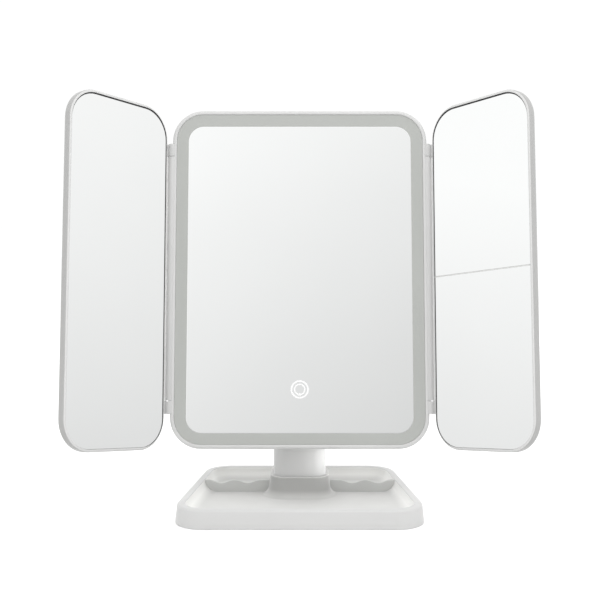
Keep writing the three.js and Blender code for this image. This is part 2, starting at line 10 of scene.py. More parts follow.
import bmesh
import bpy
from mathutils import Matrix, Vector

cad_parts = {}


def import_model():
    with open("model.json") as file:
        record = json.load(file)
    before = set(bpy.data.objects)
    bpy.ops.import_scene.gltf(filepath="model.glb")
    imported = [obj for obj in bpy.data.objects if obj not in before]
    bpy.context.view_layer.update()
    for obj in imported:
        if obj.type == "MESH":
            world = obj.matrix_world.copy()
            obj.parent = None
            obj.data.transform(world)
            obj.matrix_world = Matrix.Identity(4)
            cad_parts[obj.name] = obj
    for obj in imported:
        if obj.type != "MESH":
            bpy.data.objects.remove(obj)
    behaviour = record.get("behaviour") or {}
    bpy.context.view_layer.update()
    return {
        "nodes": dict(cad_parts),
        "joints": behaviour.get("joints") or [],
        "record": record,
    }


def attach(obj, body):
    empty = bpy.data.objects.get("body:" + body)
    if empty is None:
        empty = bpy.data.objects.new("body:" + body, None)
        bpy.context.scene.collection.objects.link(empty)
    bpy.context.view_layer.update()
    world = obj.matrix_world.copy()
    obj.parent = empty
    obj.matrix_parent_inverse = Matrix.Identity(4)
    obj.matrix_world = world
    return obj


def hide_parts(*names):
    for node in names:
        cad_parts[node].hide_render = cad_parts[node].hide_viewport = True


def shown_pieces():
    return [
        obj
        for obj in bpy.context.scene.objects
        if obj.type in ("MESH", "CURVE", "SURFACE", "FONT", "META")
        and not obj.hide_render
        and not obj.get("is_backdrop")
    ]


MM = 0.001

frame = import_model()
joints = {joint["name"]: joint for joint in frame["joints"]}

# ---------------------------------------------------------------- places taken from the frame

left_hinge = Vector(joints["left_wing_fold"]["pos_m"]) / MM
right_hinge = Vector(joints["right_wing_fold"]["pos_m"]) / MM
HEAD_UP = Vector(joints["left_wing_fold"]["axis"]).normalized()
HEAD_RIGHT = Vector((1, 0, 0))
HEAD_BACK = HEAD_UP.cross(HEAD_RIGHT)
PIVOT = Vector(joints["panel_tilt"]["pos_m"]) / MM

HINGE_X = right_hinge.x
HINGE_DEPTH = 2.0
HEAD_CENTRE = (left_hinge + right_hinge) / 2 - HEAD_BACK * HINGE_DEPTH
WING_FOLD = -math.radians(joints["right_wing_fold"]["range_deg"][0])

# ---------------------------------------------------------------- sizes of the visible shapes

# The head: depths count back from the front of its casing, and MIRROR_LIFT moves the mirror up.
CASE_HALF = (91.0, 120.7)
CASE_CORNER = 22.0
CASE_SPLIT = 9.7
GLASS_INSET = 3.0
MIRROR_HALF = (79.6, 109.45)
MIRROR_CORNER = 11.0
MIRROR_LIFT = -0.4
GLASS_FRONT = 0.5
GLASS_BACK = 2.5
TOUCH_HEIGHT = -79.2

# The wings, measured from their hinge. The mirror is shifted so that the black seal shows wider on the
# hinge side and along the top, where it is painted shade.
WING_INNER = 1.5
WING_OUTER = 90.7
WING_HALF_HEIGHT = 121.2
WING_CORNER = 22.0
WING_FRONT = 2.9
WING_BACK = 9.0
WING_SPLIT = 0.2
WING_SHRINK = 0.28
LIP = 1.9
HINGE_LIP = 0.9
SEAL = 0.52
SEAL_SHIFT_FOR_PAINTED_SHADE = 0.46
GLASS_DEPTH = 3.2

# The hinges: a long barrel on the head between two short knuckles on the wing.
BARREL_RADIUS = 2.6
BARREL_HALF = 87.0
KNUCKLE_GAP = 0.4
KNUCKLE = 9.0

# The base: its sides slope inwards to the back, and its foot spreads a little wider than the rim.
BASE_HALF_DEPTH = 62.2
BASE_SIDE = 77.75
BASE_SLOPE = 0.1326
BASE_CORNER = 20.0
BASE_SPREAD = 1.2
RIM_TOP = 13.0
RIM_WIDTH = 5.5
TRAY_FLOOR = 4.0
COVE = 9.0

# The collar and the post that stands in its socket.
COLLAR_HALF = (21.2, 17.0)
COLLAR_CORNER = 11.0
COLLAR_TOP = 18.9
COLLAR_TAPER = 1.8
COLLAR_FILLET = 4.5
SOCKET_FLOOR = 8.0
POST_HALF = (19.0, 14.5)
POST_CORNER = 9.5

SIDES = ((-1, "left"), (1, "right"))
ARC_STEPS = 12
QUARTER = 6


# ---------------------------------------------------------------- mesh tools


def head_matrix():
    """Puts points given as right, back and up of the head's front centre into the scene."""
    columns = Matrix((HEAD_RIGHT, HEAD_BACK, HEAD_UP)).transposed().to_4x4()
    return Matrix.Translation(HEAD_CENTRE) @ columns


def wing_matrix(side):
    """The same for a wing, from its hinge line, with the wing folded as in the rest pose."""
    hinge = Matrix.Translation((side * HINGE_X, HINGE_DEPTH, 0))
    return head_matrix() @ hinge @ Matrix.Rotation(-side * WING_FOLD, 4, "Z")


def make_object(name, points, faces, material, matrix=Matrix.Identity(4), sharp=35):
    """Makes a smooth-shaded mesh object from millimetre points."""
    mesh = bpy.data.meshes.new(name)
    mesh.from_pydata([(matrix @ Vector(p)) * MM for p in points], [], faces)
    mesh.validate()
    mesh.materials.append(material)
    mesh.shade_smooth()
    mesh.set_sharp_from_angle(angle=math.radians(sharp))
    piece = bpy.data.objects.new(name, mesh)
    bpy.context.scene.collection.objects.link(piece)
    return piece


def rounded_outline(corners, radius):
    """Points round a convex outline, anticlockwise, each corner rounded by an arc."""
    points = []
    count = len(corners)
    for index, corner in enumerate(corners):
        corner = Vector(corner)
        to_before = (Vector(corners[index - 1]) - corner).normalized()
        to_after = (Vector(corners[(index + 1) % count]) - corner).normalized()
        half_angle = to_before.angle(to_after) / 2
        centre = corner + (to_before + to_after).normalized() * (radius / math.sin(half_angle))
        start = corner + to_before * (radius / math.tan(half_angle)) - centre
        turn = math.pi - 2 * half_angle
        first = math.atan2(start.y, start.x)
        for step in range(ARC_STEPS + 1):
            angle = first + turn * step / ARC_STEPS
            points.append((centre.x + radius * math.cos(angle), centre.y + radius * math.sin(angle)))
    return points


def rectangle(half_width, half_height, radius, centre=(0.0, 0.0)):
    """The outline of a rectangle with rounded corners."""
    corners = [
        (centre[0] + x * half_width, centre[1] + y * half_height)
        for x, y in ((-1, -1), (1, -1), (1, 1), (-1, 1))
    ]
    return rounded_outline(corners, max(radius, 0.05))


def quads(rows, size, closed=False):
    """Faces that join rows of points, each row a loop of the same size; closed joins last to first."""
    faces = []
    for row in range(rows if closed else rows - 1):
        low, high = row * size, (row + 1) % rows * size
        for index in range(size):
            after = (index + 1) % size
            faces.append((low + index, low + after, high + after, high + index))
    return faces


def sweep(name, outline, profile, place, material, matrix=Matrix.Identity(4), closed=False, sharp=35):
    """Joins copies of an outline into one solid.

    outline(inset) gives the loop at an inset; profile lists (inset, height); place(x, y, height) puts a
    point in space. A closed profile makes a ring, an open one is capped at both ends.
    """
    loops = [[place(x, y, height) for x, y in outline(inset)] for inset, height in profile]
    size = len(loops[0])
    points = [point for loop in loops for point in loop]
    rows = len(loops)
    faces = quads(rows, size, closed)
    if not closed:
        faces.append(tuple(reversed(range(size))))
        faces.append(tuple(range((rows - 1) * size, rows * size)))
    piece = make_object(name, points, faces, material, matrix, sharp)
    outwards(piece)
    return piece


def outwards(piece):
    """Turns every face of a closed mesh to point out."""
    work = bmesh.new()
    work.from_mesh(piece.data)
    bmesh.ops.recalc_face_normals(work, faces=work.faces)
    work.to_mesh(piece.data)
    work.free()


def ring_of(name, loops, material, matrix):
    """A closed ring of the head or a wing, from (outline, depth) loops that go round its section."""
    points = [facing_front(x, y, depth) for loop, depth in loops for x, y in loop]
    size = len(loops[0][0])
    ring = make_object(name, points, quads(len(loops), size, closed=True), material, matrix)
    outwards(ring)
    return ring


def upright(x, y, height):
    """Keeps an outline level, with heights upwards."""
    return (x, y, height)


def facing_front(x, y, depth):
    """Stands an outline up to face the front, with depths backwards."""
    return (x, depth, y)


def arc(centre, radius, start, end, steps=QUARTER):
    """Profile points on an arc, angles in degrees."""
    angles = [math.radians(start + (end - start) * step / steps) for step in range(steps + 1)]
    return [(centre[0] + radius * math.cos(a), centre[1] + radius * math.sin(a)) for a in angles]


def rod(name, radius, start, end, material, matrix, edge):
    """A round bar between two points, with small rounded ends."""
    start, end = Vector(start), Vector(end)
    length = (end - start).length
    turn = (end - start).to_track_quat("Z", "Y").to_matrix().to_4x4()
    steps = 32
    profile = [(0.0, 0.0)] + arc((radius - edge, edge), edge, -90, 0, 3)
    profile += arc((radius - edge, length - edge), edge, 0, 90, 3) + [(0.0, length)]
    angles = [2 * math.pi * k / steps for k in range(steps)]
    points = [(0, 0, 0)]
    for r, z in profile[1:-1]:
        points += [(r * math.cos(angle), r * math.sin(angle), z) for angle in angles]
    points.append((0, 0, length))
    rows = len(profile) - 2
    faces = [(0, 1 + (k + 1) % steps, 1 + k) for k in range(steps)]
    faces += [tuple(1 + index for index in face) for face in quads(rows, steps)]
    top = len(points) - 1
    low = 1 + (rows - 1) * steps
    faces += [(low + k, low + (k + 1) % steps, top) for k in range(steps)]
    place = matrix @ Matrix.Translation(start) @ turn
    return make_object(name, points, faces, material, place)


def block(name, low, high, material, matrix, edge):
    """A box with rounded edges."""
    half = [(b - a) / 2 for a, b in zip(low, high)]
    centre = [(a + b) / 2 for a, b in zip(low, high)]
    height = high[2] - low[2]
    profile = arc((edge, edge), edge, 270, 180, 3) + arc((edge, height - edge), edge, 180, 90, 3)

    def outline(inset):
        return rectangle(half[0] - inset, half[1] - inset, 2 * edge - inset)

    def place(x, y, z):
        return (centre[0] + x, centre[1] + y, low[2] + z)

    return sweep(name, outline, profile, place, material, matrix)


# ---------------------------------------------------------------- materials


class Surface:
    """A Principled material with its node tree, built step by step."""

    def __init__(self, name, color, roughness, metallic=0.0, **sockets):
        self.material = bpy.data.materials.new(name)
        self.material.use_nodes = True
        self.tree = self.material.node_tree
        self.shader = self.tree.nodes["Principled BSDF"]
        self.shader.inputs["Base Color"].default_value = (*color, 1)
        self.shader.inputs["Roughness"].default_value = roughness
        self.shader.inputs["Metallic"].default_value = metallic
        for socket, value in sockets.items():
            self.shader.inputs[socket.replace("_", " ")].default_value = value
        self.color = color
        self.coordinates = self.tree.nodes.new("ShaderNodeTexCoord").outputs["Object"]
        self.height = None

    def noise(self, scale, detail, roughness=0.5, stretch=(1, 1, 1)):
        """A noise pattern over the piece; the scale counts features to the metre."""
        mapping = self.tree.nodes.new("ShaderNodeMapping")
        mapping.inputs["Scale"].default_value = stretch
        self.tree.links.new(self.coordinates, mapping.inputs["Vector"])
        texture = self.tree.nodes.new("ShaderNodeTexNoise")
        texture.inputs["Scale"].default_value = scale
        texture.inputs["Detail"].default_value = detail
        texture.inputs["Roughness"].default_value = roughness
        self.tree.links.new(mapping.outputs["Vector"], texture.inputs["Vector"])
        return texture.outputs["Fac"]

    def remap(self, value, low, high, from_low=0.3, from_high=0.7):
        """Stretches a value to a new range; noise stays mostly between 0.3 and 0.7."""
        node = self.tree.nodes.new("ShaderNodeMapRange")
        node.inputs["From Min"].default_value = from_low
        node.inputs["From Max"].default_value = from_high
        node.inputs["To Min"].default_value = low
        node.inputs["To Max"].default_value = high
        self.tree.links.new(value, node.inputs["Value"])
        return node.outputs["Result"]

    def tint(self, value, low, high):
        """Colours the surface between two multiples of its own colour."""
        ramp = self.tree.nodes.new("ShaderNodeMix")
        ramp.data_type = "RGBA"
        ramp.inputs["A"].default_value = (*[c * low for c in self.color], 1)
        ramp.inputs["B"].default_value = (*[min(c * high, 1) for c in self.color], 1)
        self.tree.links.new(self.remap(value, 0, 1), ramp.inputs["Factor"])
        self.tree.links.new(ramp.outputs["Result"], self.shader.inputs["Base Color"])
        return self

    def vary_roughness(self, value, low, high):
        """Lets the roughness follow a pattern between two values."""
        self.tree.links.new(self.remap(value, low, high), self.shader.inputs["Roughness"])
        return self

    def bump(self, value, strength, distance):
        """Adds a relief on top of those already there; the distance is in metres."""
        node = self.tree.nodes.new("ShaderNodeBump")
        node.inputs["Strength"].default_value = strength
        node.inputs["Distance"].default_value = distance
        self.tree.links.new(value, node.inputs["Height"])
        if self.height is not None:
            self.tree.links.new(self.height, node.inputs["Normal"])
        self.height = node.outputs["Normal"]
        self.tree.links.new(self.height, self.shader.inputs["Normal"])
        return self


def moulded_plastic(name, color, roughness, mottle=0.02):
    """Satin moulded plastic: a fine spark-eroded grain, faint flow marks and uneven gloss."""
    surface = Surface(name, color, roughness, Coat_Weight=0.12, Coat_Roughness=0.25, IOR=1.49)
    surface.tint(surface.noise(9, 4), 1 - mottle, 1 + mottle)
    surface.vary_roughness(surface.noise(60, 4), roughness - 0.06, roughness + 0.08)
    surface.bump(surface.noise(2600, 2), 0.10, 0.00005)
    surface.bump(surface.noise(28, 2), 0.04, 0.0004)
    return surface.material


def plastic_with_painted_light_and_shade(name, stops, roughness):
    """Moulded plastic with light and shade painted into its colour by height; stops are (height,
    brightness) pairs.
    """
    surface = Surface(name, (1.0, 1.0, 1.0), roughness, Coat_Weight=0.12, Coat_Roughness=0.25)
    split = surface.tree.nodes.new("ShaderNodeSeparateXYZ")
    surface.tree.links.new(surface.coordinates, split.inputs["Vector"])
    ramp = surface.tree.nodes.new("ShaderNodeValToRGB")
    highest = stops[-1][0]
    surface.tree.links.new(surface.remap(split.outputs["Z"], 0, 1, 0, highest * MM), ramp.inputs["Fac"])
    for index, (height, value) in enumerate(stops):
        stop = ramp.color_ramp.elements[index] if index < 2 else ramp.color_ramp.elements.new(1)
        stop.position = height / highest
        stop.color = (value, value, value * 0.975, 1)
    mottle = surface.tree.nodes.new("ShaderNodeMix")
    mottle.data_type = "RGBA"
    mottle.blend_type = "MULTIPLY"
    mottle.inputs["Factor"].default_value = 1
    surface.tree.links.new(ramp.outputs["Color"], mottle.inputs["A"])
    surface.tree.links.new(surface.remap(surface.noise(9, 4), 0.97, 1.0), mottle.inputs["B"])
    surface.tree.links.new(mottle.outputs["Result"], surface.shader.inputs["Base Color"])
    surface.vary_roughness(surface.noise(60, 4), roughness - 0.06, roughness + 0.08)
    surface.bump(surface.noise(2600, 2), 0.10, 0.00005)
    return surface.material


def mirror_glass(name, color, smear):
    """Silvered glass with faint wiping marks."""
    surface = Surface(name, color, 0.03, 1.0)
    surface.tint(surface.noise(14, 3), 0.992, 1.004)
    marks = surface.noise(26, 5, 0.65, (1.0, 1.0, 3.0))
    surface.vary_roughness(marks, 0.012, smear)
    return surface.material


def frosted_band():
    """Sand-blasted glass over a light guide, switched off."""
    surface = Surface("frosted_band", (0.375, 0.384, 0.367), 0.55, Coat_Weight=0.3, Coat_Roughness=0.18)
    surface.tint(surface.noise(16, 3), 0.975, 1.02)
    surface.vary_roughness(surface.noise(500, 2), 0.46, 0.62)
    surface.bump(surface.noise(5200, 2), 0.22, 0.00003)
    return surface.material


def steel(name, color, roughness):
    """Bare steel with fine drawn streaks."""
    surface = Surface(name, color, roughness, 1.0)
    surface.tint(surface.noise(60, 3), 0.93, 1.04)
    surface.vary_roughness(surface.noise(900, 2, 0.5, (1, 12, 1)), roughness - 0.06, roughness + 0.12)
    surface.bump(surface.noise(1800, 2, 0.5, (1, 14, 1)), 0.12, 0.00004)
    return surface.material


def soft_rubber(name, color, roughness):
    """Matt rubber or foam with a coarse grain."""
    surface = Surface(name, color, roughness)
    surface.tint(surface.noise(40, 4), 0.88, 1.1)
    surface.vary_roughness(surface.noise(300, 3), roughness - 0.08, min(roughness + 0.1, 1))
    surface.bump(surface.noise(1500, 3), 0.3, 0.0001)
    return surface.material


def circuit_board():
    """Green board with streaks like copper tracks under its lacquer."""
    surface = Surface("circuit_board", (0.03, 0.17, 0.08), 0.4, Coat_Weight=0.4)
    surface.tint(surface.noise(700, 1, 0.2, (1, 1, 6)), 0.75, 1.3)
    surface.vary_roughness(surface.noise(200, 2), 0.3, 0.5)
    surface.bump(surface.noise(900, 1, 0.3, (6, 1, 1)), 0.2, 0.00005)
    return surface.material


# (height, brightness) pairs of the base's painted light and shade: the tray darker on its floor and
# lighter up its cove, the pedestal grey above its fillet up to its lip
TRAY_PAINTED_LIGHT_AND_SHADE = ((3.9, 0.56), (4.6, 0.60), (7.5, 0.86), (13.0, 0.90))
PEDESTAL_PAINTED_SHADE = ((5.0, 0.55), (9.3, 0.425), (18.1, 0.425), (18.5, 0.60))

MATERIALS = {
    "white_plastic": moulded_plastic("white_plastic", (0.545, 0.545, 0.54), 0.34),
    # Lighter than the white plastic: painted light on the post under the head.
    "painted_light_post_plastic": moulded_plastic("painted_light_post_plastic", (0.65, 0.65, 0.645), 0.34),
    # Much lighter: painted light against the shadow the hinge leaf stands in.
    "painted_light_leaf_plastic": moulded_plastic("painted_light_leaf_plastic", (0.85, 0.85, 0.845), 0.4),
    # Darker: painted shade on the hinge barrels, knuckles and arms.
    "painted_shade_hinge_plastic": moulded_plastic("painted_shade_hinge_plastic", (0.50, 0.50, 0.495), 0.34),
    # Darker still: painted shade on the wings' front edges and sides.
    "painted_shade_wing_plastic": moulded_plastic("painted_shade_wing_plastic", (0.37, 0.37, 0.365), 0.36),
    "lip_plastic": moulded_plastic("lip_plastic", (0.57, 0.57, 0.565), 0.34),
    "tray_plastic": moulded_plastic("tray_plastic", (0.62, 0.625, 0.61), 0.40),
    # The tray's cove and floor: painted light and shade by height.
    "tray_floor_painted_light_and_shade": plastic_with_painted_light_and_shade("tray_floor_painted_light_and_shade", TRAY_PAINTED_LIGHT_AND_SHADE, 0.38),
    # The pedestal: painted shade by height.
    "pedestal_painted_shade": plastic_with_painted_light_and_shade("pedestal_painted_shade", PEDESTAL_PAINTED_SHADE, 0.42),
    "frosted_band": frosted_band(),
    "mirror_glass": mirror_glass("mirror_glass", (0.93, 0.94, 0.935), 0.05),
    "mark_white": moulded_plastic("mark_white", (0.80, 0.80, 0.80), 0.5, 0.01),
    "grey_rubber": soft_rubber("grey_rubber", (0.28, 0.28, 0.28), 0.75),
    "black_gasket": soft_rubber("black_gasket", (0.012, 0.012, 0.013), 0.6),
    "friction_rubber": soft_rubber("friction_rubber", (0.03, 0.03, 0.03), 0.7),
    "foam_tape": soft_rubber("foam_tape", (0.06, 0.06, 0.06), 0.9),
    "battery_wrap": moulded_plastic("battery_wrap", (0.05, 0.055, 0.065), 0.3, 0.1),
    "circuit_board": circuit_board(),
    "weight_steel": steel("weight_steel", (0.45, 0.46, 0.48), 0.38),
    "shaft_steel": steel("shaft_steel", (0.56, 0.56, 0.58), 0.25),
    "screw_steel": steel("screw_steel", (0.5, 0.5, 0.52), 0.32),
    "contact_steel": steel("contact_steel", (0.6, 0.6, 0.6), 0.28),
}


def finish_cad_nodes():
    """Gives every CAD node that stays on show its own slot's material."""
    for part in frame["record"]["subparts"]:
        node = frame["nodes"][part["node"]]
        node.data.materials.clear()
        node.data.materials.append(MATERIALS[part["material_slot"]])


def wear(piece, body, slot, *nodes):
    """Makes a piece ride on a body and stand for CAD nodes, which it hides; the slot is not used."""
    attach(piece, body)
    if nodes:
        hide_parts(*nodes)
    return piece


# ---------------------------------------------------------------- base


def base_plan(inset, spread=0.0):
    """The base's outline at an inset from the rim; spread widens it towards the foot."""
    side_inset = inset * math.hypot(1, BASE_SLOPE)
    depth = BASE_HALF_DEPTH - inset
    corners = []
    for sign, y in ((-1, -depth), (1, -depth), (1, depth), (-1, depth)):
        x = sign * (BASE_SIDE - BASE_SLOPE * y - side_inset)
        corners.append((x * (1 + spread / BASE_SIDE), y * (1 + spread / BASE_HALF_DEPTH)))
    return rounded_outline(corners, BASE_CORNER - inset)


def foot_spread(height):
    """How much wider than the rim the shell's outside is at a height."""
    return BASE_SPREAD * (1 - height / RIM_TOP)


def tray_profile():
    """From the shell's foot up its outside, over the rim and down the cove to the tray floor."""
    rim_round = 1.5
    inner_round = 0.5
    profile = [(2.2, 0.1), (0.5, 0.1), (0.12, 0.35)]
    profile += [(0.0, 1.0), (0.0, 5.0), (0.0, 8.5)]
    profile += arc((rim_round, RIM_TOP - rim_round), rim_round, 180, 90)
    start = RIM_WIDTH - inner_round
    profile += arc((start, RIM_TOP - inner_round), inner_round, 90, 20, 4)
    profile += arc((RIM_WIDTH + COVE, TRAY_FLOOR + COVE), COVE, 190, 270, 12)
    return profile


def base_shell():
    """The tray: its outside and rim in the white plastic, the cove and the floor in a plastic with light
    and shade painted in by height.
    """
    profile = tray_profile()
    loops = []
    for inset, height in profile:
        spread = foot_spread(height) if inset < RIM_WIDTH / 2 else 0.0
        loops.append([(x, y, height) for x, y in base_plan(inset, spread)])
    size = len(loops[0])
    points = [point for loop in loops for point in loop]
    faces = quads(len(loops), size)
    faces.append(tuple(range((len(loops) - 1) * size, len(loops) * size)))
    faces.append(tuple(reversed(range(size))))
    shell = make_object("tray_shell", points, faces, MATERIALS["white_plastic"], sharp=50)
    shell.data.materials.append(MATERIALS["tray_floor_painted_light_and_shade"])
    for face in shell.data.polygons:
        row = face.index // size
        inside = row < len(profile) - 1 and profile[row][0] > RIM_WIDTH - 0.1
        face.material_index = int(inside or face.index == len(faces) - 2)
    outwards(shell)
    return wear(shell, "base", "white_plastic", "base_shell")


def pedestal():
    """The collar round the post: slightly tapered, with a fillet at the tray floor and a thin lip."""
    lip = 0.5
    wall = 2.1
    steps = 24
    foot = TRAY_FLOOR + 0.05
    tall = COLLAR_TOP - foot
    profile = []
    for step in range(steps + 1):
        height = (tall - lip) * (step / steps) ** 1.5
        below = max(COLLAR_FILLET - height, 0)
        fillet = COLLAR_FILLET - math.sqrt(COLLAR_FILLET**2 - below**2)
        profile.append((-COLLAR_TAPER * (1 - height / tall) - fillet, foot + height))
    profile += arc((lip, COLLAR_TOP - lip), lip, 180, 90, 5)
    profile += arc((wall - lip, COLLAR_TOP - lip), lip, 90, 0, 4)
    profile += [(wall, SOCKET_FLOOR)]

    def outline(inset):
        half_width, half_depth = COLLAR_HALF
        return rectangle(half_width - inset, half_depth - inset, COLLAR_CORNER - inset, (0, PIVOT.y))

    # The collar is painted grey as shade above its fillet, lighter again at its foot and lip.
    collar = sweep("pedestal", outline, profile, upright, MATERIALS["pedestal_painted_shade"], sharp=60)
    return wear(collar, "base", "tray_plastic", "pedestal_collar")


def divider_top(x):
    """Height of the divider's scalloped top at a distance from the middle."""
    plateau, wave, dip = 29.0, 19.2, 2.3
    crest = RIM_TOP - 0.15
    if x < plateau or x > plateau + 2 * wave:
        return crest
    return crest - dip / 2 * (1 - math.cos(2 * math.pi * (x - plateau) / wave))


def divider(side, name):
    """One low scalloped wall across the tray, with a rounded top edge."""
    half = 1.1
    edge = 0.7
    start = COLLAR_HALF[0] + 0.4
    inner_rim = BASE_SIDE - BASE_SLOPE * PIVOT.y - RIM_WIDTH * math.hypot(1, BASE_SLOPE)
    end = inner_rim - 0.35
    steps = 64
    points = []
    for step in range(steps + 1):
        x = start + (end - start) * step / steps
        reach = x - (inner_rim - COVE)
        floor = TRAY_FLOOR
        if reach > 0:
            floor = TRAY_FLOOR + COVE - math.sqrt(max(COVE**2 - reach**2, 0))
        top = max(divider_top(x), floor + 0.4)
        edge_here = min(edge, (top - floor) / 2)
        section = [(-half, floor + 0.02), (-half, top - edge_here)]
        section += [(-half + edge * 0.3, top - edge_here * 0.3), (-half + edge, top)]
        section += [(half - edge, top), (half - edge * 0.3, top - edge_here * 0.3)]
        section += [(half, top - edge_here), (half, floor + 0.02)]
        points += [(side * x, PIVOT.y + y, z) for y, z in section]
    size = len(section)
    faces = quads(steps + 1, size)
    faces.append(tuple(range(size)))
    faces.append(tuple(range(steps * size, (steps + 1) * size)))
    wall = make_object(f"scalloped_divider_{name}", points, faces, MATERIALS["tray_plastic"], sharp=50)
    outwards(wall)
    return wear(wall, "base", "tray_plastic", f"tray_divider_{name}")


def post():
    """The post: a rounded column, cut back behind the head, and a neck with a barrel for the shaft."""
    shoulder = PIVOT.z - 16.5
    barrel = 13.0
    barrel_half = 12.6
    rounding = 1.2
    overlap = 4
    relief_height = 43.2
    relief_front = PIVOT.y - barrel - 0.2

    def column_outline(inset):
        half_width, half_depth = POST_HALF
        return rectangle(half_width - inset, half_depth - inset, POST_CORNER - inset, (0, PIVOT.y))

    def column_point(x, y, height):
        return (x, max(y, relief_front) if height > relief_height else y, height)

    profile = [(0.0, SOCKET_FLOOR), (0.0, 30.0), (0.0, relief_height), (0.0, relief_height + 0.02)]
    profile += arc((rounding, shoulder - rounding), rounding, 180, 90, 4)
    # Column and neck are in a lighter copy of the white plastic: painted light.
    column = sweep("post_column", column_outline, profile, column_point, MATERIALS["painted_light_post_plastic"])
    foot = shoulder - overlap
    outline = [(barrel, foot)] + arc((0, PIVOT.z), barrel, 0, 180, 24) + [(-barrel, foot)]
    edge = 0.8
    spans = [(-barrel_half, edge), (-barrel_half + edge * 0.3, edge * 0.3), (-barrel_half + edge, 0)]
    spans += [(-x, inset) for x, inset in reversed(spans)]
    points = []
    for x, inset in spans:
        shrink = 1 - inset / barrel
        points += [(x, PIVOT.y + y * shrink, PIVOT.z + (z - PIVOT.z) * shrink) for y, z in outline]
    size = len(outline)
    faces = quads(len(spans), size)
    faces.append(tuple(range(size)))
    faces.append(tuple(range((len(spans) - 1) * size, len(spans) * size)))
    neck = make_object("post_neck", points, faces, MATERIALS["painted_light_post_plastic"])
    outwards(neck)
    for piece in (column, neck):
        wear(piece, "base", "white_plastic")
    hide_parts("post")


# ---------------------------------------------------------------- head


def case_outline(inset):
    """The outline of the head's casing at an inset."""
    return rectangle(CASE_HALF[0] - inset, CASE_HALF[1] - inset, CASE_CORNER - inset)


def mirror_outline(grow):
    """The outline of the main mirror, grown by a distance."""
    half_width, half_height = MIRROR_HALF
    return rectangle(half_width + grow, half_height + grow, MIRROR_CORNER + grow, (0, MIRROR_LIFT))


def front_rim():
    """The thin rim round the glass, with its rounded front edge and the long hinge barrels."""
    matrix = head_matrix()
    edge = 1.8
    lip = 0.45
    wall = 1.9
    inner = GLASS_INSET - 0.15
    profile = arc((edge, edge), edge, 270, 180)
    profile += [(0.0, CASE_SPLIT - 0.3), (0.3, CASE_SPLIT), (wall, CASE_SPLIT), (wall, 4.0), (inner, 3.0)]
    profile += arc((inner - lip, lip), lip, 0, -90, 4)
    # The barrels are in a darker copy of the white plastic: painted shade.
    plastic, barrel_plastic = MATERIALS["white_plastic"], MATERIALS["painted_shade_hinge_plastic"]
    rim = sweep("front_rim", case_outline, profile, facing_front, plastic, matrix, closed=True)
    wear(rim, "head", "white_plastic", "main_frame")
    for side, name in SIDES:
        start = (side * HINGE_X, HINGE_DEPTH, -BARREL_HALF)
        end = (side * HINGE_X, HINGE_DEPTH, BARREL_HALF)
        barrel = rod(f"{name}_hinge_barrel", BARREL_RADIUS, start, end, barrel_plastic, matrix, 0.25)
        wear(barrel, "head", "white_plastic")


def refined(node, name, body, slot, bevel):
    """A softened copy of a CAD node: joined corners, small rounded edges and smooth shading."""
    source = frame["nodes"][node]
    mesh = source.data.copy()
    mesh.name = name
    mesh.transform(source.matrix_world)
    work = bmesh.new()
    work.from_mesh(mesh)
    bmesh.ops.remove_doubles(work, verts=work.verts, dist=0.01 * MM)
    bmesh.ops.dissolve_limit(work, angle_limit=math.radians(1), verts=work.verts, edges=work.edges)
    edges = [e for e in work.edges if e.is_manifold and e.calc_face_angle() > math.radians(50)]
    bmesh.ops.bevel(
        work, geom=edges, offset=bevel * MM, segments=2, profile=0.5, affect="EDGES", clamp_overlap=True
    )
    work.to_mesh(mesh)
    work.free()
    mesh.materials.clear()
    mesh.materials.append(MATERIALS[slot])
    mesh.shade_smooth()
    mesh.set_sharp_from_angle(angle=math.radians(32))
    piece = bpy.data.objects.new(name, mesh)
    bpy.context.scene.collection.objects.link(piece)
    flat = piece.modifiers.new("flat_faces", "WEIGHTED_NORMAL")
    flat.keep_sharp = True
    return wear(piece, body, slot, node)


def rear_side():
    """The rear cover, its battery door, the tilt bracket and the caps over the pivot."""
    refined("rear_cover", "rear_shell", "head", "white_plastic", 0.3)
    refined("battery_door", "battery_lid", "battery_door", "white_plastic", 0.25)
    refined("tilt_bracket", "tilt_yoke", "head", "white_plastic", 0.5)
    for _, name in SIDES:
        refined(f"pivot_cap_{name}", f"pivot_button_{name}", "head", "white_plastic", 0.4)


def glass_front():
    """The main mirror with its ground edge, and the frosted band round it."""
    matrix = head_matrix()
    bevel = 0.35
    front, back = GLASS_FRONT, GLASS_BACK
    profile = [(0.0, back), (0.0, front + bevel), (bevel * 0.3, front + bevel * 0.3), (bevel, front)]
    mirror = sweep(
        "main_mirror_sheet", lambda inset: mirror_outline(-inset), profile, facing_front,
        MATERIALS["mirror_glass"], matrix, sharp=20,
    )
    wear(mirror, "head", "mirror_glass", "main_mirror")
    outer = GLASS_INSET - 0.05
    band_profile = [(outer, back), (outer, front + 0.2), (outer + 0.2, front)]
    loops = [(case_outline(inset), depth) for inset, depth in band_profile]
    loops += [(mirror_outline(0.06), front), (mirror_outline(0.06), back)]
    band = ring_of("frosted_light_band", loops, MATERIALS["frosted_band"], matrix)
    wear(band, "head", "frosted_band", "light_diffuser")


def ring_mark(name, outer, inner, front):
    """A flat printed ring on the mirror, a few hundredths of a millimetre thick."""
    steps = 64
    depth = 0.06
    section = ((outer, front), (outer, front - depth), (inner, front - depth), (inner, front))
    points = []
    for radius, y in section:
        for k in range(steps):
            angle = 2 * math.pi * k / steps
            points.append((radius * math.sin(angle), y, TOUCH_HEIGHT + radius * math.cos(angle)))
    faces = quads(len(section), steps, closed=True)
    ring = make_object(name, points, faces, MATERIALS["mark_white"], head_matrix())
    outwards(ring)
    return wear(ring, "head", "white_plastic")


